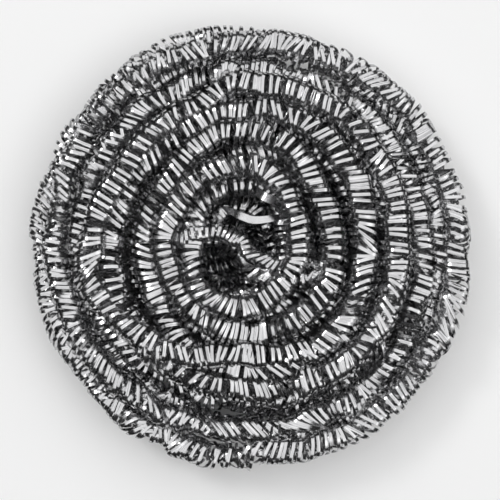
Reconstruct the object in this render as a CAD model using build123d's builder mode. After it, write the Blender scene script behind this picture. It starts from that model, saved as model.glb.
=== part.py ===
"""Pot scrubber: a flat round nest wound from long strands of curled stainless steel wire.

The nest has four layers. Each of its two winding strands spirals in along one layer,
climbs at the heart and spirals out again above. They are drawn as square tubes, each
about as wide as the curls. The lower one winds further in, and so it floors the recess
that the upper one leaves in the middle. A third strand bridges the recess, and there
the curled wire itself is drawn.
"""

from build123d import *
from dataclasses import dataclass
from itertools import pairwise
from math import cos, hypot, pi, sin
import os

# Driving dimensions of the nest, in millimetres
nest_diameter = 84.0
recess_diameter = 18.0
floor_hole_diameter = 8.3
curl_diameter = 5.0
strand_width = 4.2
least_turn_gap = 0.35
layer_gap = 0.45
strand_seat = 0.35
turn_back_dip = 0.6

# Driving dimensions of the heart strand, in millimetres
heart_curl_diameter = 4.2
heart_clearance = 0.35
wire_width = 0.45
curl_spacing = 2.5
hook_length = 1.2

# Counts
wire_sides = 4
crown_half_turns_fewer = 4
foot_half_turns_fewer = 4

# Shares: the turns underneath are pressed flat by this share of their width, the heart
# strand meets the windings this share of a half turn after they turn back, its hooks
# are this share of a half curl, and gaps are measured at this share of a width
rest_flat_share = 0.1
bridge_share = 0.37
hook_share = 0.3
sample_share = 0.15

# Heights of the layers
layer_pitch = curl_diameter + layer_gap
lower_height = strand_width / 2 - strand_width * rest_flat_share
upper_height = lower_height + layer_pitch + strand_width + strand_seat
nest_height = upper_height + layer_pitch + strand_width / 2


@dataclass
class Run:
    """A stretch of a winding: the stations that its arcs join, and its straight tails."""

    stations: list
    first_tail: float = 0
    last_tail: float = 0

    def sections(self):
        """Give the planes square to the strand at its first end and, on a climb, at its last."""
        point, slope = self.stations[0]
        last_point, last_slope = self.stations[-1]
        planes = [Plane(origin=point - slope * self.first_tail, x_dir=(0, 0, 1), z_dir=slope)]
        if last_point.Z > point.Z:
            planes.append(Plane(origin=last_point, x_dir=(0, 0, 1), z_dir=last_slope))
        return planes


def biarc(start, end):
    """Join two stations by two arcs that meet without a kink."""
    (start_point, start_slope), (end_point, end_slope) = start, end
    span = end_point - start_point
    both_slopes = start_slope + end_slope
    spread = 2 * (1 - start_slope.dot(end_slope))
    along = span.dot(both_slopes)
    reach = ((along**2 + spread * span.dot(span)) ** 0.5 - along) / spread
    meeting_point = (start_point + end_point + (start_slope - end_slope) * reach) / 2
    meeting_slope = span - both_slopes * reach
    TangentArc(start_point, meeting_point, tangent=start_slope)
    TangentArc(meeting_point, end_point, tangent=meeting_slope)


def lay_route(run):
    """Draw the centre line of a run, with its straight tails."""
    first_point, first_slope = run.stations[0]
    last_point, last_slope = run.stations[-1]
    if run.first_tail:
        Line(first_point - first_slope * run.first_tail, first_point)
    for start, end in pairwise(run.stations):
        biarc(start, end)
    if run.last_tail:
        Line(last_point, last_point + last_slope * run.last_tail)


class Winding:
    """A strand that spirals in along one layer, climbs at the heart and spirals out above.

    It is laid in steps of half a turn, and its turns share the space from the opening at the
    heart to the rim evenly. At its belly it is as wide as the nest. The rim draws in by half
    a pitch on its way round, which sets the heart off centre.
    """

    def __init__(self, opening, fewer_in, fewer_out, start_angle, start_height):
        self.inner_radius = (opening + strand_width) / 2
        turn_space = (nest_diameter - strand_width) / 2 - self.inner_radius
        belly_half_turns = int(2 * turn_space / (curl_diameter + least_turn_gap) + 1 / 2)
        self.turn_pitch = turn_space / (belly_half_turns / 2 - 1 / 4)
        self.half_turns_in = belly_half_turns - fewer_in
        self.half_turns_out = belly_half_turns - fewer_out
        self.start_angle = start_angle
        self.start_height = start_height
        self.centre = Vector(0, self.turn_pitch / 4, 0)

    def radius(self, step):
        """Give the radius at a step. It dips into the opening where the strand turns back."""
        climbed = min(max(step - self.half_turns_in, 0), 1)
        turned = abs(step - self.half_turns_in - 1 / 2) - 1 / 2
        return self.inner_radius + turned * self.turn_pitch / 2 - turn_back_dip * sin(pi * climbed) ** 2

    def station(self, step):
        """Give the place and direction at a step."""
        angle = self.start_angle + pi * step
        radius = self.radius(step)
        climbed = min(max(step - self.half_turns_in, 0), 1)
        height = self.start_height + layer_pitch * (1 - cos(pi * climbed)) / 2
        turned = step - self.half_turns_in - 1 / 2
        widening = turned / abs(turned) * self.turn_pitch / 2 if turned else 0
        climbing = layer_pitch * pi / 2 * sin(pi * climbed) if 0 < climbed < 1 else 0
        outward = Vector(cos(angle), sin(angle), 0)
        forward = Vector(-sin(angle), cos(angle), 0)
        slope = outward * widening + forward * (pi * radius) + Vector(0, 0, climbing)
        return self.centre + outward * radius + Vector(0, 0, height), slope.normalized()

    def runs(self):
        """List the runs: in along a layer, up at the heart, and out along the next."""
        inward = [self.station(step) for step in range(self.half_turns_in + 1)]
        climb = [self.station(self.half_turns_in + share) for share in (0, 1 / 2, 1)]
        outward = [self.station(self.half_turns_in + 1 + step) for step in range(self.half_turns_out + 1)]
        return [Run(inward, first_tail=strand_width), Run(climb), Run(outward, last_tail=strand_width)]


def report_gap(name, edges, width, upright):
    """Print a strand's least gap to itself and its tightest bend, measured on points.

    An upright strand is square and as wide as it is high; any other is taken as round.
    """
    points = []
    walked = 0
    for edge in edges:
        count = 1 + int(edge.length / (width * sample_share))
        for index in range(count):
            points.append((walked + edge.length * index / count, *edge.position_at(index / count)))
        walked += edge.length
    least = nest_diameter
    for index, (here, x, y, z) in enumerate(points):
        for there, other_x, other_y, other_z in points[index + 1 :]:
            if there - here > 2 * width:
                beside = hypot(x - other_x, y - other_y)
                above = abs(z - other_z)
                if upright:
                    gap = hypot(max(beside - width, 0), max(above - width, 0))
                else:
                    gap = hypot(beside, above) - width
                least = min(least, gap)
    radius = min(edge.radius for edge in edges if edge.geom_type == GeomType.CIRCLE)
    print(f"{name}: {walked:.0f} mm long, least gap {least:.2f} mm, least radius {radius:.1f} mm")


# Lower strand: from the edge of the foot in to the heart, up a layer, and out to the rim
lower_winding = Winding(floor_hole_diameter, foot_half_turns_fewer, 0, pi / 2, lower_height)
lower_edges = []
with BuildPart() as lower_strand:
    for run in lower_winding.runs():
        with BuildLine() as lower_line:
            lay_route(run)
        for plane in run.sections():
            with BuildSketch(plane):
                Rectangle(strand_width, strand_width)
        sweep(multisection=len(run.sections()) > 1)
        lower_edges += lower_line.line.edges()
    split(bisect_by=Plane.XY, keep=Keep.TOP)
report_gap("lower_strand", lower_edges, strand_width, upright=True)

# Upper strand: from the rim in to the heart, up a layer, and out to the edge of the crown
upper_winding = Winding(recess_diameter, 0, crown_half_turns_fewer, -pi / 2, upper_height)
upper_edges = []
with BuildPart() as upper_strand:
    for run in upper_winding.runs():
        with BuildLine() as upper_line:
            lay_route(run)
        for plane in run.sections():
            with BuildSketch(plane):
                Rectangle(strand_width, strand_width)
        sweep(multisection=len(run.sections()) > 1)
        upper_edges += upper_line.line.edges()
report_gap("upper_strand", upper_edges, strand_width, upright=True)

# The heart strand bridges the recess between two turns of the upper strand
bridge_step = upper_winding.half_turns_in + bridge_share
bridge_angle = upper_winding.start_angle + pi * bridge_step
bridge_along = Vector(-cos(bridge_angle), -sin(bridge_angle), 0)
bridge_across = Vector(sin(bridge_angle), -cos(bridge_angle), 0)
bridge_up = Vector(0, 0, 1)
first_reach = upper_winding.radius(bridge_step)
last_reach = upper_winding.radius(bridge_step + 1)
bridge_length = first_reach + last_reach - strand_width - 2 * heart_clearance
bridge_centre = upper_winding.centre + bridge_along * ((last_reach - first_reach) / 2)
bridge_centre += bridge_up * (upper_height + layer_pitch / 2)
curled_length = bridge_length - 2 * (hook_length + wire_width)
heart_curls = round(curled_length / curl_spacing)
heart_curl_radius = (heart_curl_diameter - wire_width) / 2


def heart_station(step):
    """Give the place and direction of the curled wire at a step of half a curl."""
    advance = curled_length / (2 * heart_curls)
    outward = bridge_across * cos(pi * step) + bridge_up * sin(pi * step)
    forward = bridge_up * cos(pi * step) - bridge_across * sin(pi * step)
    point = bridge_centre + bridge_along * (advance * (step - heart_curls)) + outward * heart_curl_radius
    return point, (bridge_along * advance + forward * (pi * heart_curl_radius)).normalized()


def hook_station(step, side):
    """Give the end of a hook, where the wire leaves its last curl and runs straight out."""
    angle = pi * (step + side * hook_share)
    outward = bridge_across * cos(angle) + bridge_up * sin(angle)
    along = bridge_along * (side * (curled_length / 2 + hook_length))
    return bridge_centre + along + outward * heart_curl_radius, bridge_along


# Heart strand: the curled wire, with a hook and a straight tail at each end
heart_stations = [hook_station(0, -1)]
heart_stations += [heart_station(step) for step in range(2 * heart_curls + 1)]
heart_stations += [hook_station(2 * heart_curls, 1)]
heart_run = Run(heart_stations, first_tail=wire_width, last_tail=wire_width)
with BuildPart() as heart_strand:
    with BuildLine() as heart_line:
        lay_route(heart_run)
    with BuildSketch(heart_run.sections()[0]):
        RegularPolygon(wire_width / 2, wire_sides)
    sweep()
report_gap("heart_strand", heart_line.line.edges(), wire_width, upright=False)

os.makedirs("parts", exist_ok=True)
pieces = {
    "lower_strand": lower_strand,
    "upper_strand": upper_strand,
    "heart_strand": heart_strand,
}
for name, piece in pieces.items():
    piece.part.label = name
    export_step(piece.part, f"parts/{name}.step")
print(f"nest {nest_diameter:.0f} mm across and {nest_height:.1f} mm high, {heart_curls} curls at the heart")
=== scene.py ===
"""Looks of a pot scrubber: a flat nest of curled stainless steel wire.

Every strand of the nest is a bundle of thin flat wires, each curled like a spring and
wound along the strand's route. The routes follow the CAD model's two windings and the
strand that bridges the recess. Lengths are in metres, apart from those of bends,
crossings, patches and nudges, which are given places, in millimetres.
"""

from __future__ import annotations

import logging
from abc import ABC, abstractmethod
from dataclasses import dataclass, field
from enum import Enum
from math import pi, radians

import bmesh
import bpy
import numpy as np
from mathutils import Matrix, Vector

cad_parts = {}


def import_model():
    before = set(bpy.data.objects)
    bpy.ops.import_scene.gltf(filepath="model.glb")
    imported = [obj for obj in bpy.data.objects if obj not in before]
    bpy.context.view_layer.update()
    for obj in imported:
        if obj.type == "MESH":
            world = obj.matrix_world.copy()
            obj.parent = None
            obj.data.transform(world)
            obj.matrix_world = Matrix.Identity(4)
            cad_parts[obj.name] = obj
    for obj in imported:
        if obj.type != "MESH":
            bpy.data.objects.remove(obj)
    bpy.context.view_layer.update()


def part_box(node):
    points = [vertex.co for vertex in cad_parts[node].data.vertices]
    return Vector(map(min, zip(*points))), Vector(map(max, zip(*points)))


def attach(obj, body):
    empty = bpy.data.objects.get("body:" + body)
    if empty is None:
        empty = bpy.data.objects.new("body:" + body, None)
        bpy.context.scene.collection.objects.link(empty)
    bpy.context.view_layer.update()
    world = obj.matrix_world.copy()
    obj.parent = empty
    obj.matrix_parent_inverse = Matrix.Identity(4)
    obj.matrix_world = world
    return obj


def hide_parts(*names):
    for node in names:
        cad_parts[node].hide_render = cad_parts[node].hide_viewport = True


LOG = logging.getLogger("pot_scrubber")
MM = 0.001
BODY = "root"
RIBBON_UV = "ribbon"

Array = np.ndarray
Colour = tuple[float, float, float, float]
Place = tuple[float, float, float]


class Node(Enum):
    """The CAD nodes that the strands stand for."""

    LOWER = "lower_strand"
    UPPER = "upper_strand"
    HEART = "heart_strand"


class Socket:
    """A shader value: Python's operators on it add Math nodes to its material."""

    def __init__(self, painter: Painter, output: bpy.types.NodeSocket) -> None:
        """Wrap an output socket of the painter's material."""
        self.painter = painter
        self.output = output

    def _math(self, operation: str, first: Value, second: Value) -> Socket:
        """Add a Math node for one operation on two values."""
        return self.painter.node("ShaderNodeMath", {"operation": operation}, {0: first, 1: second})

    def __add__(self, other: Value) -> Socket:
        """Add two values."""
        return self._math("ADD", self, other)

    def __sub__(self, other: Value) -> Socket:
        """Take a value from this one."""
        return self._math("SUBTRACT", self, other)

    def __mul__(self, other: Value) -> Socket:
        """Multiply two values."""
        return self._math("MULTIPLY", self, other)

    def __radd__(self, other: float) -> Socket:
        """Add this value to a number."""
        return self._math("ADD", other, self)

    def __rsub__(self, other: float) -> Socket:
        """Take this value from a number."""
        return self._math("SUBTRACT", other, self)

    def __rmul__(self, other: float) -> Socket:
        """Multiply a number by this value."""
        return self._math("MULTIPLY", other, self)


Value = Socket | float


class Painter:
    """Adds the nodes of one material."""

    def __init__(self, name: str) -> None:
        """Make an empty material with a Principled shader.

        Args:
            name: The material's name.
        """
        self.material = bpy.data.materials.new(name)
        self.material.use_nodes = True
        self.tree = self.material.node_tree
        self.shader = self.tree.nodes["Principled BSDF"]

    def node(
        self,
        kind: str,
        settings: dict[str, object],
        inputs: dict[int | str, object],
        output: int | str = 0,
    ) -> Socket:
        """Add a node.

        Args:
            kind: The node's type.
            settings: Attributes of the node, which are set first.
            inputs: The value, or the socket that feeds it, for each input.
            output: The output that is wanted.

        Returns:
            The wanted output.
        """
        made = self.tree.nodes.new(kind)
        for name, value in settings.items():
            setattr(made, name, value)
        for name, value in inputs.items():
            self.feed(made.inputs[name], value)
        return Socket(self, made.outputs[output])

    def feed(self, target: bpy.types.NodeSocket, value: object) -> None:
        """Link a socket to an input, or set the input's own value.

        Args:
            target: The input.
            value: A socket of this painter's, or a plain value.
        """
        if isinstance(value, Socket):
            self.tree.links.new(value.output, target)
        else:
            target.default_value = value

    def mix(self, factor: Value, first: Colour, second: Colour) -> Socket:
        """Mix two colours.

        Args:
            factor: How much of the second colour there is, from 0 to 1.
            first: The colour at 0.
            second: The colour at 1.

        Returns:
            The mixed colour.
        """
        first_colour, second_colour, mixed_colour = 6, 7, 2
        inputs = {"Factor": factor, first_colour: first, second_colour: second}
        return self.node("ShaderNodeMix", {"data_type": "RGBA"}, inputs, mixed_colour)


@dataclass(frozen=True)
class SteelFinish:
    """Bright rolled stainless steel, with drawn streaks along the wire and duller patches."""

    name: str = "rolled_steel"
    bright: Colour = (0.8, 0.8, 0.81, 1.0)
    dull: Colour = (0.2, 0.2, 0.205, 1.0)
    shade_of_patches: float = 0.6
    shade_of_streaks: float = 1.6
    shade_taken_off: float = 0.6
    least_roughness: float = 0.12
    roughness_spread: float = 0.14
    patches_per_metre: float = 260.0
    patch_detail: float = 3.0
    streaks_across: float = 9.0
    streaks_along: float = 900.0
    streak_detail: float = 2.0
    streak_depth: float = 0.01 * MM
    streak_strength: float = 0.5

    def make(self) -> bpy.types.Material:
        """Make the material.

        Returns:
            The material, with its colour, roughness and bump from nodes.
        """
        painter = Painter(self.name)
        place = painter.node("ShaderNodeTexCoord", {}, {}, "Object")
        along = painter.node("ShaderNodeUVMap", {"uv_map": RIBBON_UV}, {})
        patches = painter.node(
            "ShaderNodeTexNoise",
            {},
            {"Vector": place, "Scale": self.patches_per_metre, "Detail": self.patch_detail},
        )
        stretched = painter.node(
            "ShaderNodeVectorMath",
            {"operation": "MULTIPLY"},
            {0: along, 1: (self.streaks_along, self.streaks_across, 1.0)},
        )
        streaks = painter.node(
            "ShaderNodeTexNoise",
            {},
            {"Vector": stretched, "Scale": 1.0, "Detail": self.streak_detail},
        )
        shade = self.shade_of_patches * patches + self.shade_of_streaks * streaks - self.shade_taken_off
        colour = painter.mix(shade, self.dull, self.bright)
        bump = painter.node(
            "ShaderNodeBump",
            {},
            {"Height": streaks, "Distance": self.streak_depth, "Strength": self.streak_strength},
        )
        roughness = self.least_roughness + self.roughness_spread * streaks
        painter.feed(painter.shader.inputs["Base Color"], colour)
        painter.feed(painter.shader.inputs["Roughness"], roughness)
        painter.feed(painter.shader.inputs["Normal"], bump)
        painter.feed(painter.shader.inputs["Metallic"], 1.0)
        return painter.material


def uneven(rng: np.random.Generator, count: int, spacing: float, amount: float) -> Array:
    """Draw a smooth run of random values.

    Args:
        rng: The generator that the values are drawn from.
        count: How many steps the run has.
        spacing: How many steps lie between two drawn values.
        amount: The standard deviation of the drawn values.

    Returns:
        A value for each step, eased from one drawn value to the next.
    """
    spare_values = 4
    drawn = rng.normal(0.0, amount, int(count / spacing) + spare_values)
    at = np.arange(count) / spacing
    low = at.astype(int)
    share = at - low
    ease = share * share * (3.0 - 2.0 * share)
    return drawn[low] * (1.0 - ease) + drawn[low + 1] * ease


def unit(vectors: Array) -> Array:
    """Scale vectors, one a row, to length one."""
    return vectors / np.linalg.norm(vectors, axis=1, keepdims=True)


def smooth_line(points: Array, per_span: int) -> Array:
    """Run a smooth line through points.

    Args:
        points: The points, one a row.
        per_span: How many points the line has from each given point to the next.

    Returns:
        The line's points.
    """
    padded = np.vstack([2.0 * points[0] - points[1], points, 2.0 * points[-1] - points[-2]])
    share = np.linspace(0.0, 1.0, per_span, endpoint=False)[:, None]
    spans = []
    for before, first, last, after in zip(padded, padded[1:], padded[2:], padded[3:]):
        spans.append(
            first
            + 0.5 * share * (last - before)
            + share**2 * (before - 2.5 * first + 2.0 * last - 0.5 * after)
            + 0.5 * share**3 * (after - before + 3.0 * (first - last))
        )
    return np.vstack(spans + [points[-1:]])


class Route:
    """A strand's centre line, by the distance along it."""

    def __init__(self, line: Array) -> None:
        """Measure a line.

        Args:
            line: Points along the centre line, close together.
        """
        self.line = line
        self.walked = np.concatenate([[0.0], np.cumsum(np.linalg.norm(np.diff(line, axis=0), axis=1))])
        self.length = float(self.walked[-1])
        self.slope = unit(np.gradient(line, axis=0))

    @classmethod
    def through(cls, bends: tuple[Place, ...], per_bend: int, height: float = 0.0) -> Route:
        """Run a smooth route through bends over a height, with so many points for each bend."""
        origin = np.array([0.0, 0.0, height])
        return cls(smooth_line(origin + np.array(bends) * MM, per_bend))

    def _at(self, walked: Array, values: Array) -> Array:
        """Read values that the line has at each of its points, at distances along it."""
        return np.stack([np.interp(walked, self.walked, column) for column in values.T], axis=1)

    def frames(self, walked: Array) -> tuple[Array, Array, Array, Array]:
        """Give the place and three directions at each distance.

        Args:
            walked: Distances along the line.

        Returns:
            The places, and the directions forward, outward and upward there.
        """
        forward = unit(self._at(walked, self.slope))
        outward = unit(np.cross(forward, np.array([0.0, 0.0, 1.0])))
        return self._at(walked, self.line), forward, outward, np.cross(outward, forward)


@dataclass(frozen=True)
class Patch:
    """A round patch of the nest where something about the curls is stronger.

    Its middle, x and y, is measured from the middle of the nest.
    """

    x: float
    y: float
    reach: float
    amount: float

    def strength(self, places: Array) -> Array:
        """Tell how strong it is at each place: its amount in its middle, and less around it."""
        across = np.hypot(places[:, 0] / MM - self.x, places[:, 1] / MM - self.y)
        return self.amount * np.exp(-((across / self.reach) ** 2))


@dataclass(frozen=True)
class Disorder:
    """How use has disturbed the nest: where its curls tangle, crowd together or come loose.

    A crowded patch with an amount below zero is one where the curls have drawn apart.
    """

    tangled: tuple[Patch, ...] = (
        Patch(-16.0, -27.0, 11.0, 1.2),
        Patch(6.0, -32.0, 8.0, 0.9),
        Patch(27.0, -18.0, 9.0, 1.0),
        Patch(12.0, -24.0, 7.0, 0.9),
        Patch(-30.0, -12.0, 6.0, 0.7),
        Patch(21.0, -8.0, 9.0, 0.5),
        Patch(19.0, 16.0, 7.0, 0.5),
    )
    crowded: tuple[Patch, ...] = (
        Patch(-7.0, -17.0, 4.0, 0.4),
        Patch(-1.0, -17.6, 4.0, 0.4),
        Patch(5.0, -17.0, 3.5, 0.3),
        Patch(-18.0, -19.0, 4.0, -0.35),
        Patch(-24.0, -13.0, 4.0, -0.35),
    )
    rim_from: float = 27.0 * MM
    rim_within: float = 6.0 * MM

    def tangle(self, places: Array) -> Array:
        """Tell how tangled the curls are at each place."""
        return sum(patch.strength(places) for patch in self.tangled)[:, None]

    def rim(self, places: Array) -> Array:
        """Tell how far into the loose rim each place lies, from 0 to 1."""
        beyond = np.hypot(places[:, :1], places[:, 1:2]) - self.rim_from
        return np.clip(beyond / self.rim_within, 0.0, 1.0)

    def spacing(self, places: Array) -> Array:
        """Tell how far apart the curls lie at each place, as a share of their usual spacing."""
        return 1.0 - sum(patch.strength(places) for patch in self.crowded)


DISORDER = Disorder()


@dataclass(frozen=True)
class Runs:
    """How many curls a wire makes from one change of something uneven about it to the next."""

    spacing: float = 1.8
    size: float = 1.7
    tilt: float = 3.1
    squareness: float = 2.3
    wander_out: float = 2.6
    wander_up: float = 2.9
    lean: float = 5.0
    slew: float = 4.0
    twist: float = 2.2


@dataclass(frozen=True)
class CurledWire:
    """One flat wire, curled like a spring: the size of its curls, and how uneven they are.

    The curls are squarish: squareness is how far their sides are drawn in, and tilt how far
    the square turns. Pairing draws the curls together two by two. Lean tips them forward at
    the top, slew swings them forward on one side, and wander moves them off the route. The
    wire's flat side faces outwards, turned on edge by roll and unevenly by twist, and it
    unrolls where the curls are tangled or loose. What lies lower than the floor's reach is
    pressed flat. Limits are multiples of the usual value, and runs count curls.
    """

    diameter: float
    spacing: float
    ribbon_width: float = 0.9 * MM
    ribbon_thickness: float = 0.1 * MM
    pairing: float = 0.0
    sides: int = 4
    squareness: float = 0.075
    uneven_squareness: float = 0.6
    squareness_limit: float = 1.7
    uneven_diameter: float = 0.035
    uneven_spacing: float = 0.16
    spacing_limits: tuple[float, float] = (0.45, 1.8)
    lean: float = 0.22
    slew: float = 0.26
    wander: float = 0.22 * MM
    twist: float = 0.2
    tilt: float = 0.12
    roll: float = 0.0
    stray_at_rim: float = 0.6
    twist_in_tangle: float = 0.3
    unrolling: float = 1.2
    floor_reach: float = 1.6 * MM
    steps_per_curl: int = 14
    runs: Runs = Runs()

    def pace(self, route: Route, rng: np.random.Generator) -> Array:
        """Space the curls along a route.

        Args:
            route: The strand's centre line.
            rng: The generator for what is uneven.

        Returns:
            How far along the line each step of the wire lies.
        """
        spare_share, spare_curls = 1.8, 2.0
        most = int(route.length / self.spacing * spare_share + spare_curls) * self.steps_per_curl
        spread = 1.0 + uneven(rng, most, self.runs.spacing * self.steps_per_curl, self.uneven_spacing)
        spread = np.clip(spread, *self.spacing_limits)
        paired = 1.0 + self.pairing * np.cos(pi * np.arange(most) / self.steps_per_curl)
        walked = np.cumsum(self.spacing / self.steps_per_curl * spread * paired)
        loosened = np.diff(route.walked) / DISORDER.spacing(route.line)[1:]
        loosened = np.concatenate([[0.0], np.cumsum(loosened)])
        count = int(np.searchsorted(walked, loosened[-1]))
        return np.interp(walked[:count], loosened, route.walked)

    def press_flat(self, points: Array) -> None:
        """Press the points that come close to the floor flat against it, in their own array."""
        low = points[:, 2] < self.floor_reach
        points[low, 2] = self.floor_reach * np.exp(points[low, 2] / self.floor_reach - 1.0)

    def lay(self, route: Route, rng: np.random.Generator) -> tuple[Array, Array]:
        """Curl the wire along a route.

        Args:
            route: The strand's centre line.
            rng: The generator for what is uneven.

        Returns:
            The points along the wire's middle, and the directions across its flat side.
        """
        walked = self.pace(route, rng)
        runs = self.runs

        def wave(curls: float, amount: float) -> Array:
            """Draw an uneven run that changes every so many curls."""
            return uneven(rng, len(walked), curls * self.steps_per_curl, amount)[:, None]

        middle, forward, outward, upward = route.frames(walked)
        tangle, rim = DISORDER.tangle(middle), DISORDER.rim(middle)
        loose = 1.0 + tangle
        stray = loose + self.stray_at_rim * rim
        phase = 2.0 * pi * np.arange(len(walked))[:, None] / self.steps_per_curl
        size = self.diameter / 2.0 * (1.0 + loose * wave(runs.size, self.uneven_diameter))
        corners = (self.sides - 1) * phase - self.sides * wave(runs.tilt, self.tilt)
        drawn_in = 1.0 + wave(runs.squareness, self.uneven_squareness)
        square = self.squareness * np.clip(drawn_in, 0.0, self.squareness_limit)
        side = size * (np.cos(phase) - square * np.cos(corners))
        rise = size * (np.sin(phase) + square * np.sin(corners))
        strayed = outward * wave(runs.wander_out, self.wander) + upward * wave(runs.wander_up, self.wander)
        points = middle + stray * strayed + outward * side + upward * rise
        leant = wave(runs.lean, self.lean) * rise + wave(runs.slew, self.slew) * side
        points += stray * forward * leant
        self.press_flat(points)
        run = unit(np.gradient(points, axis=0))
        radial = outward * np.cos(phase) + upward * np.sin(phase)
        radial = unit(radial - run * np.sum(radial * run, axis=1, keepdims=True))
        twisted = (1.0 + self.twist_in_tangle * tangle) * wave(runs.twist, self.twist)
        turn = self.roll / (1.0 + self.unrolling * (tangle + rim)) + twisted
        return points, np.cross(run, radial) * np.cos(turn) + radial * np.sin(turn)

    def build(self, name: str, route: Route, seed: int) -> bpy.types.Object:
        """Model the wire as a thin strip with its real thickness.

        Args:
            name: The piece's name.
            route: The strand's centre line.
            seed: Chooses what is uneven about this wire.

        Returns:
            The finished piece, in place.
        """
        points, across = self.lay(route, np.random.default_rng(seed))
        spans = len(points) - 1
        half = 0.5
        strip = bmesh.new()
        strip.loops.layers.uv.new(RIBBON_UV)
        bmesh.ops.create_grid(strip, x_segments=spans, y_segments=1, size=half, calc_uvs=True)
        for edge in strip.edges:
            edge.smooth = not edge.is_boundary
        for face in strip.faces:
            face.smooth = True
        mesh = bpy.data.meshes.new(name)
        strip.to_mesh(mesh)
        strip.free()
        grid = np.empty(len(mesh.vertices) * 3)
        mesh.vertices.foreach_get("co", grid)
        grid = grid.reshape(-1, 3)
        step = np.rint((grid[:, 0] + half) * spans).astype(int)
        places = points[step] + across[step] * (grid[:, 1:2] * self.ribbon_width)
        mesh.vertices.foreach_set("co", places.ravel())
        mesh.update()
        piece = bpy.data.objects.new(name, mesh)
        bpy.context.scene.collection.objects.link(piece)
        wall = piece.modifiers.new("wire_thickness", "SOLIDIFY")
        wall.thickness = self.ribbon_thickness
        wall.offset = 0.0
        return piece


@dataclass(frozen=True)
class Nudge:
    """A place where the turns have been pushed out or in, or have parted.

    Its angles are in degrees, and its lengths in millimetres.
    """

    angle: float
    radius: float
    push: float = 0.0
    part: float = 0.0
    spread_angle: float = 35.0
    spread_radius: float = 4.0

    def shift(self, angle: Array, radius: Array) -> Array:
        """Give how far out this nudge moves the turns.

        Args:
            angle: Directions from the heart, in radians.
            radius: Distances from the heart, in metres.

        Returns:
            The move outward at each place, in metres.
        """
        turned = (angle - radians(self.angle) + pi) % (2.0 * pi) - pi
        beyond = radius / MM - self.radius
        near = np.exp(-((turned / radians(self.spread_angle)) ** 2) - (beyond / self.spread_radius) ** 2)
        return near * (self.push + self.part * np.tanh(beyond)) * MM


@dataclass(kw_only=True)
class Strand(ABC):
    """Curled wires that together stand for a CAD node.

    Its routes have a number of points from each of their bends to the next.
    """

    node: Node
    seed: int
    points_per_bend: int = 22
    pieces: list[bpy.types.Object] = field(default_factory=list)

    @abstractmethod
    def build(self) -> None:
        """Curl all the wires of the strand."""

    def curl(
        self,
        part: str,
        route: Route,
        wires: tuple[CurledWire, ...],
        first_seed: int,
        seed_step: int = 1,
    ) -> None:
        """Curl wires together along one route.

        Args:
            part: What the wires' pieces are called after the node.
            route: The route.
            wires: The wires.
            first_seed: The first wire's seed.
            seed_step: The difference from each wire's seed to the next.
        """
        for index, wire in enumerate(wires):
            name = f"{self.node.value}_{part}_{index + 1}"
            self.pieces.append(wire.build(name, route, first_seed + index * seed_step))

    def dress(self, steel: bpy.types.Material) -> None:
        """Finish the wires, let them ride on the object's body and hide the CAD node.

        Args:
            steel: The wires' material.
        """
        for piece in self.pieces:
            piece.data.materials.append(steel)
            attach(piece, BODY)
            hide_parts(self.node.value)
            LOG.info("%s: %d faces before its thickness", piece.name, len(piece.data.polygons))


OUTER_WIRE = CurledWire(
    diameter=5.3 * MM, spacing=1.35 * MM, ribbon_width=0.6 * MM, pairing=0.5, uneven_spacing=0.3
)
INNER_WIRE = CurledWire(diameter=3.8 * MM, spacing=1.9 * MM, ribbon_width=0.6 * MM, roll=1.1)
CORE_WIRE = CurledWire(diameter=2.2 * MM, spacing=1.6 * MM, ribbon_width=0.7 * MM, roll=1.1)
SPARE_WIRE = CurledWire(diameter=3.0 * MM, spacing=1.7 * MM, ribbon_width=0.7 * MM, roll=0.6)


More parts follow.
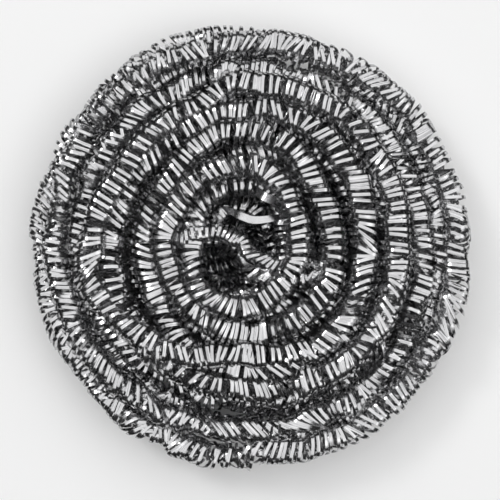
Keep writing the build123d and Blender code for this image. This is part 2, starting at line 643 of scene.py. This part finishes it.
@dataclass(kw_only=True)
class WindingStrand(Strand):
    """A winding: it spirals in along one layer, climbs at the heart and spirals out above.

    The rim draws in by half a pitch on its way round, so the spiral's own middle, its heart,
    lies a share of the pitch off the nest's.
    """

    half_turns_in: int
    half_turns_out: int
    start_angle: float
    inner_radius: float
    wires: tuple[CurledWire, ...] = (OUTER_WIRE, INNER_WIRE, CORE_WIRE)
    nudges: tuple[Nudge, ...] = ()
    nudges_below: tuple[Nudge, ...] = ()
    tube_width: float = 4.2 * MM
    overhang: float = 0.6 * MM
    off_middle_share: float = 0.25
    heart_shift: tuple[float, float] = (0.0, 0.0)
    heart_shift_reach: float = 5.0 * MM
    turn_back_dip: float = 0.6 * MM
    wander: float = 0.45 * MM
    wander_turns: float = 0.18
    wander_within: float = 4.0 * MM
    points_per_half_turn: int = 90

    @abstractmethod
    def settle(self, step: Array, radius: Array, outer_radius: float) -> Array:
        """Give how far the turns have settled from their layers' heights.

        Args:
            step: How many half turns the strand has made.
            radius: Distances from the heart.
            outer_radius: The distance of the outermost turn.

        Returns:
            The rise at each place.
        """

    def tail(self, line: Array) -> Array:
        """Add what follows the winding's last turn to its line: here, nothing."""
        return line

    def pushed(self, step: Array, angle: Array, radius: Array) -> Array:
        """Push the turns out and in, and part them, where the nest has been nudged.

        Args:
            step: How many half turns the strand has made.
            angle: Directions from the heart.
            radius: Distances from the heart.

        Returns:
            The new distances from the heart.
        """
        radius = radius + sum(nudge.shift(angle, radius) for nudge in self.nudges)
        below = step < self.half_turns_in
        return radius + below * sum(nudge.shift(angle, radius) for nudge in self.nudges_below)

    def route(self) -> Route:
        """Work out the centre line from the node's box.

        Returns:
            The winding's route.
        """
        low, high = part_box(self.node.value)
        outer_radius = (high.y - low.y - self.tube_width) / 2.0 - self.overhang
        belly_turns = max(self.half_turns_in, self.half_turns_out) / 2.0
        pitch = (outer_radius - self.inner_radius) / (belly_turns - self.off_middle_share)
        climb = high.z - low.z - self.tube_width
        half_turns = self.half_turns_in + 1 + self.half_turns_out
        step = np.linspace(0.0, half_turns, half_turns * self.points_per_half_turn + 1)
        climbed = np.clip(step - self.half_turns_in, 0.0, 1.0)
        turned = np.abs(step - self.half_turns_in - 0.5) - 0.5
        radius = self.inner_radius + turned * pitch / 2.0 - self.turn_back_dip * np.sin(pi * climbed) ** 2
        angle = self.start_angle + pi * step
        height = low.z + self.tube_width / 2.0 + climb * (1.0 - np.cos(pi * climbed)) / 2.0
        height = height + self.settle(step, radius, outer_radius)

        rng = np.random.default_rng(self.seed)
        spacing = self.wander_turns * 2.0 * self.points_per_half_turn
        inside = np.clip((outer_radius - radius) / self.wander_within, 0.0, 1.0)
        radius = self.pushed(step, angle, radius) + inside * uneven(rng, len(step), spacing, self.wander)
        height = height + inside * uneven(rng, len(step), spacing, self.wander)
        near_heart = np.exp(-(((radius - self.inner_radius) / self.heart_shift_reach) ** 2))
        across = radius * np.cos(angle) + near_heart * self.heart_shift[0]
        along = radius * np.sin(angle) + near_heart * self.heart_shift[1] + pitch * self.off_middle_share
        return Route(self.tail(np.stack([across, along, height], axis=1)))

    def build(self) -> None:
        """Curl the wires of the winding along its route."""
        self.curl("wire", self.route(), self.wires, self.seed + 1)


@dataclass(kw_only=True)
class LowerStrand(WindingStrand):
    """The winding underneath: it winds in to a small hole, and so it floors the recess.

    The floor's bends lead its loose wires round below the recess, and close that hole.
    """

    node: Node = Node.LOWER
    seed: int = 100
    wires: tuple[CurledWire, ...] = (OUTER_WIRE, INNER_WIRE, CORE_WIRE, SPARE_WIRE)
    half_turns_in: int = 9
    half_turns_out: int = 13
    start_angle: float = pi / 2.0
    inner_radius: float = 6.25 * MM
    heart_shift: tuple[float, float] = (-5.8 * MM, -5.0 * MM)
    nudges: tuple[Nudge, ...] = (
        Nudge(290.0, 34.0, push=2.8, spread_angle=27.0, spread_radius=7.0),
        Nudge(107.0, 33.0, push=2.8, spread_angle=27.0, spread_radius=7.0),
        Nudge(60.0, 32.0, push=-1.4, spread_angle=25.0, spread_radius=6.0),
        Nudge(238.0, 31.0, push=-1.5, spread_angle=25.0, spread_radius=5.0),
        Nudge(95.0, 11.5, push=2.7, spread_angle=40.0, spread_radius=3.0),
    )
    floor_sag: float = 3.0 * MM
    floor_radius: float = 12.0 * MM
    rim_rise: float = 2.2 * MM
    rim_width: float = 10.0 * MM
    floor_wires: tuple[CurledWire, ...] = (
        CurledWire(diameter=4.0 * MM, spacing=1.0 * MM, ribbon_width=0.6 * MM, lean=0.4, slew=0.4, roll=1.2),
        CurledWire(diameter=2.6 * MM, spacing=0.9 * MM, ribbon_width=0.7 * MM, lean=0.4, slew=0.4, roll=1.2),
        CurledWire(diameter=1.4 * MM, spacing=1.2 * MM, ribbon_width=0.7 * MM, lean=0.4, slew=0.4, roll=1.2),
    )
    floor_bends: tuple[Place, ...] = (
        (2.8, -6.2, 2.6),
        (-0.6, -7.2, 2.2),
        (-4.6, -8.2, 2.2),
        (-8.6, -7.8, 2.2),
        (-10.6, -5.4, 2.4),
        (-10.2, -2.2, 2.4),
        (-6.6, -0.6, 2.4),
        (-2.8, -1.8, 2.4),
        (-2.6, -5.2, 2.4),
        (-6.0, -6.8, 2.4),
        (-7.6, -4.0, 2.6),
        (-3.8, -2.8, 3.0),
        (0.6, 0.8, 3.4),
        (3.4, 3.8, 3.8),
        (6.4, 1.0, 4.0),
        (3.6, -2.2, 4.0),
        (0.6, 0.6, 3.0),
        (-0.8, 3.8, 2.4),
        (-4.2, 5.4, 2.2),
        (-6.8, 7.4, 2.2),
        (-3.8, 9.2, 2.2),
        (0.2, 10.4, 2.2),
        (4.2, 9.6, 2.2),
        (7.4, 7.2, 2.4),
    )

    def settle(self, step: Array, radius: Array, outer_radius: float) -> Array:
        """Let the turns that floor the recess sag, and those at the rim rise.

        Args:
            step: How many half turns the strand has made.
            radius: Distances from the heart.
            outer_radius: The distance of the outermost turn.

        Returns:
            The rise at each place, on the strand's upper layer alone.
        """
        inner = 1.0 - np.clip(radius / self.floor_radius, 0.0, 1.0)
        rim = np.clip(1.0 - (outer_radius - radius) / self.rim_width, 0.0, 1.0)
        risen = self.rim_rise * rim - self.floor_sag * inner
        return risen * np.clip(step - self.half_turns_in, 0.0, 1.0)

    def build(self) -> None:
        """Curl the strand's wires, and the loose ones that close the floor of the recess."""
        super().build()
        route = Route.through(self.floor_bends, self.points_per_bend)
        self.curl("floor", route, self.floor_wires, self.seed - 1, seed_step=-1)


@dataclass(kw_only=True)
class UpperStrand(WindingStrand):
    """The winding on top: it leaves the recess open, and its last turn crosses the crown.

    Its upper layer is the crown, and the part of its lower one that shows beyond the crown
    is the belly. The crossing's places are an angle in degrees, a distance from the middle
    of the nest and a height over the end of the crown, both in millimetres.
    """

    node: Node = Node.UPPER
    seed: int = 200
    half_turns_in: int = 11
    half_turns_out: int = 7
    start_angle: float = -pi / 2.0
    inner_radius: float = 11.1 * MM
    heart_shift: tuple[float, float] = (-2.2 * MM, -0.8 * MM)
    crown_droop: float = 1.0 * MM
    crown_radius: float = 31.0 * MM
    crown_roundness: int = 4
    belly_rise: float = 0.4 * MM
    belly_within: float = 5.0 * MM
    rim_drop_share: float = 1.3
    rim_within: float = 3.0 * MM
    nudges: tuple[Nudge, ...] = (
        Nudge(270.0, 18.0, push=1.0, spread_angle=45.0, spread_radius=12.0),
        Nudge(268.0, 40.0, push=-1.2, spread_angle=12.0, spread_radius=3.0),
        Nudge(5.0, 24.0, push=-2.2, spread_angle=45.0, spread_radius=10.0),
        Nudge(85.0, 16.0, push=1.3, spread_angle=40.0, spread_radius=5.0),
        Nudge(100.0, 31.0, push=-0.7, spread_angle=35.0, spread_radius=5.0),
        Nudge(140.0, 21.0, push=-1.6, spread_angle=24.0, spread_radius=6.0),
        Nudge(152.0, 28.0, push=0.8, spread_angle=22.0, spread_radius=4.0),
        Nudge(195.0, 19.0, push=-1.3, spread_angle=30.0, spread_radius=5.0),
        Nudge(180.0, 10.5, push=1.2, spread_angle=40.0, spread_radius=3.0),
        Nudge(90.0, 18.2, part=0.9),
        Nudge(105.0, 27.5, part=0.9),
        Nudge(100.0, 32.0, part=0.7),
        Nudge(20.0, 23.5, part=0.8, spread_angle=26.0),
        Nudge(196.0, 24.6, part=0.9, spread_angle=16.0, spread_radius=3.5),
        Nudge(214.0, 22.4, part=0.9, spread_angle=16.0, spread_radius=3.5),
        Nudge(232.0, 20.6, part=0.9, spread_angle=16.0, spread_radius=3.5),
        Nudge(252.0, 19.2, part=0.9, spread_angle=18.0, spread_radius=3.5),
        Nudge(274.0, 18.8, part=0.9, spread_angle=20.0, spread_radius=3.5),
        Nudge(298.0, 19.0, part=0.6, spread_angle=18.0, spread_radius=3.5),
        Nudge(205.0, 31.0, part=0.9, spread_angle=20.0),
        Nudge(280.0, 14.0, part=0.7),
        Nudge(145.0, 30.5, part=0.7, spread_angle=20.0),
    )
    nudges_below: tuple[Nudge, ...] = (
        Nudge(322.0, 26.0, push=2.0, spread_angle=32.0, spread_radius=8.0),
    )
    crossing: tuple[Place, ...] = (
        (112.0, 28.2, 0.8),
        (132.0, 27.6, 1.6),
        (160.0, 28.2, 2.0),
        (183.0, 29.8, 2.0),
        (193.0, 29.6, 2.2),
        (208.0, 27.0, 2.4),
        (226.0, 24.6, 2.5),
        (242.0, 21.6, 2.4),
        (262.0, 19.8, 2.0),
        (285.0, 20.0, 1.2),
        (303.0, 21.6, 0.2),
        (316.0, 23.5, -1.5),
    )

    def settle(self, step: Array, radius: Array, outer_radius: float) -> Array:
        """Let the crown droop at its edge, and the belly rise beyond it and drop at the rim.

        Args:
            step: How many half turns the strand has made.
            radius: Distances from the heart.
            outer_radius: The distance of the outermost turn.

        Returns:
            The rise at each place.
        """
        crown = step > self.half_turns_in + 1
        belly = step < self.half_turns_in
        droop = np.clip((radius / self.crown_radius) ** self.crown_roundness, 0.0, 1.0)
        beyond = np.clip((radius - self.crown_radius) / self.belly_within, 0.0, 1.0)
        rim = np.clip((radius - outer_radius + self.rim_within) / self.rim_within, 0.0, 1.0)
        risen = self.belly_rise * (beyond - self.rim_drop_share * rim)
        return risen * belly - self.crown_droop * droop * crown

    def tail(self, line: Array) -> Array:
        """Lead the strand's upper end across the turns of the crown.

        Args:
            line: The winding's centre line.

        Returns:
            The line with its tail.
        """
        per_bend = self.points_per_bend
        points = [line[-per_bend], line[-1]]
        for angle, radius, lift in self.crossing:
            turn = radians(angle)
            place = (radius * MM * np.cos(turn), radius * MM * np.sin(turn), line[-1, 2] + lift * MM)
            points.append(np.array(place))
        return np.vstack([line, smooth_line(np.array(points), per_bend)[per_bend + 1 :]])


@dataclass(frozen=True)
class HeartPath:
    """One way that wires take over the recess.

    Its bends' heights are measured from halfway up the heart strand's node.
    """

    name: str
    wires: tuple[CurledWire, ...]
    bends: tuple[Place, ...]


CURLED = CurledWire(
    diameter=3.4 * MM,
    spacing=1.2 * MM,
    ribbon_width=0.55 * MM,
    uneven_spacing=0.3,
    lean=0.4,
    slew=0.4,
    twist=0.4,
)
FILLING = CurledWire(
    diameter=2.2 * MM,
    spacing=1.1 * MM,
    ribbon_width=0.6 * MM,
    uneven_spacing=0.3,
    lean=0.5,
    slew=0.5,
    roll=0.7,
)
MESH = CurledWire(
    diameter=4.6 * MM,
    spacing=1.05 * MM,
    ribbon_width=0.5 * MM,
    uneven_spacing=0.35,
    lean=0.6,
    slew=0.6,
    twist=0.5,
)
SLACK = CurledWire(
    diameter=3.0 * MM,
    spacing=1.2 * MM,
    ribbon_width=0.5 * MM,
    uneven_spacing=0.35,
    lean=0.6,
    slew=0.6,
    twist=0.5,
)
PULLED_HIGH = CurledWire(
    diameter=0.8 * MM,
    spacing=26.0 * MM,
    ribbon_width=1.6 * MM,
    roll=0.4,
    twist=0.1,
    wander=0.0,
    steps_per_curl=100,
)
PULLED_LOW = CurledWire(
    diameter=0.8 * MM,
    spacing=40.0 * MM,
    ribbon_width=1.4 * MM,
    roll=0.63,
    twist=0.1,
    wander=0.0,
    steps_per_curl=150,
)

BRIDGE = HeartPath(
    "bridge",
    (CURLED, FILLING),
    (
        (-14.0, 1.6, 0.2),
        (-11.0, 2.9, 0.6),
        (-7.8, 3.4, 0.8),
        (-4.8, 3.1, 0.8),
        (-2.2, 1.7, 0.6),
        (0.4, -0.9, 0.4),
        (3.8, -2.7, 0.8),
        (8.0, -3.0, 1.2),
        (12.0, -2.8, 1.6),
        (15.4, -2.0, 1.8),
    ),
)
BESIDE_BRIDGE = HeartPath(
    "mesh",
    (MESH, SLACK),
    ((0.6, -4.2, 0.2), (3.6, -5.4, 0.6), (7.4, -5.4, 1.2), (11.0, -5.0, 1.8), (14.6, -4.6, 2.0)),
)
RISER = HeartPath(
    "riser",
    (CURLED,),
    ((6.0, -2.6, 0.6), (6.4, 0.2, 0.8), (6.2, 3.2, 0.6), (7.0, 6.2, 0.2)),
)
EDGE = HeartPath(
    "edge",
    (CURLED,),
    ((-9.2, 2.4, 0.2), (-9.8, 5.4, 0.2), (-8.6, 8.4, 0.0), (-5.6, 10.6, -0.8)),
)
SLOPE = HeartPath(
    "slope",
    (SLACK,),
    ((-6.2, 3.0, -0.8), (-6.4, 5.6, -1.2), (-5.0, 8.0, -1.6)),
)
BRIM = HeartPath(
    "brim",
    (SLACK,),
    ((-12.4, -6.0, -1.0), (-10.0, -8.2, -0.8), (-6.4, -9.2, -0.8), (-2.6, -8.8, -0.6), (0.6, -7.6, -0.2)),
)
LOW_BOW = HeartPath(
    "bow_low",
    (PULLED_LOW,),
    ((-5.6, 8.2, -0.6), (-3.0, 7.4, 0.8), (-1.2, 6.5, 1.4), (1.7, 5.8, 1.6), (9.6, 6.6, 0.2)),
)
HIGH_BOW = HeartPath(
    "bow_high",
    (PULLED_HIGH,),
    ((0.4, 12.6, -0.6), (2.4, 10.4, 1.2), (4.4, 8.8, 2.0), (6.8, 7.4, 1.8), (10.4, 6.0, 0.6)),
)


@dataclass(kw_only=True)
class HeartStrand(Strand):
    """The curled strand that bridges the recess, with the wires that have come loose beside it."""

    node: Node = Node.HEART
    seed: int = 300
    points_per_bend: int = 20
    paths: tuple[HeartPath, ...] = (BRIDGE, BESIDE_BRIDGE, RISER, EDGE, SLOPE, BRIM, LOW_BOW, HIGH_BOW)

    def build(self) -> None:
        """Curl the wires along their ways over the recess."""
        low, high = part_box(self.node.value)
        for path in self.paths:
            route = Route.through(path.bends, self.points_per_bend, (low.z + high.z) / 2.0)
            self.curl(path.name, route, path.wires, self.seed + len(self.pieces))


@dataclass(frozen=True)
class Lamp:
    """A square soft light that points at the nest: its place, its side and its power in watts."""

    name: str
    place: Place
    side: float
    power: float

    def hang(self) -> None:
        """Hang the lamp in its place."""
        lamp = bpy.data.lights.new(self.name, "AREA")
        lamp.size = self.side
        lamp.energy = self.power
        holder = bpy.data.objects.new(self.name, lamp)
        holder.location = self.place
        towards_nest = -holder.location
        holder.rotation_euler = towards_nest.to_track_quat("-Z", "Y").to_euler()
        bpy.context.scene.collection.objects.link(holder)


@dataclass(frozen=True)
class Studio:
    """A pale floor, soft lights and a camera that looks straight down on the nest."""

    floor_radius: float = 4.0
    floor_sides: int = 96
    floor_colour: Colour = (0.93, 0.93, 0.93, 1.0)
    floor_roughness: float = 0.9
    world_colour: Colour = (1.0, 1.0, 1.0, 1.0)
    world_strength: float = 0.04
    lamps: tuple[Lamp, ...] = (
        Lamp("top", (0.1, 0.2, 1.0), side=2.2, power=20.0),
        Lamp("key", (-0.5, 0.45, 0.75), side=0.2, power=1.6),
        Lamp("fill", (0.7, -0.3, 0.7), side=0.6, power=0.8),
    )
    camera_lens: float = 85.0
    sensor_width: float = 36.0
    clip_start: float = 0.01
    view_width: float = 100.0 * MM

    def lay_floor(self) -> None:
        """Lay the floor."""
        disc = bmesh.new()
        bmesh.ops.create_circle(disc, cap_ends=True, segments=self.floor_sides, radius=self.floor_radius)
        mesh = bpy.data.meshes.new("floor")
        disc.to_mesh(mesh)
        disc.free()
        painter = Painter("floor_paint")
        painter.feed(painter.shader.inputs["Base Color"], self.floor_colour)
        painter.feed(painter.shader.inputs["Roughness"], self.floor_roughness)
        mesh.materials.append(painter.material)
        floor = bpy.data.objects.new("floor", mesh)
        bpy.context.scene.collection.objects.link(floor)

    def light(self) -> None:
        """Light the nest from the lamps and, a little, from all around."""
        world = bpy.data.worlds.new("studio")
        world.use_nodes = True
        background = world.node_tree.nodes["Background"]
        background.inputs["Color"].default_value = self.world_colour
        background.inputs["Strength"].default_value = self.world_strength
        bpy.context.scene.world = world
        for lamp in self.lamps:
            lamp.hang()

    def place_camera(self) -> None:
        """Place the camera over the nest, as high as its lens needs for the view's width."""
        camera = bpy.data.cameras.new("camera")
        camera.lens = self.camera_lens
        camera.sensor_width = self.sensor_width
        camera.clip_start = self.clip_start
        holder = bpy.data.objects.new("camera", camera)
        holder.location = (0.0, 0.0, self.view_width * self.camera_lens / self.sensor_width)
        bpy.context.scene.collection.objects.link(holder)
        bpy.context.scene.camera = holder

    def build(self) -> None:
        """Set up the floor, the light and the camera."""
        bpy.context.scene.view_settings.view_transform = "Standard"
        self.lay_floor()
        self.light()
        self.place_camera()


def main() -> None:
    """Build the strands, then the studio, in order, and note the size of what was built."""
    logging.basicConfig(level=logging.INFO, format="%(name)s: %(message)s")
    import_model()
    steel = SteelFinish().make()
    for strand in (LowerStrand(), UpperStrand(), HeartStrand()):
        strand.build()
        strand.dress(steel)
    Studio().build()


if __name__ == "__main__":
    main()
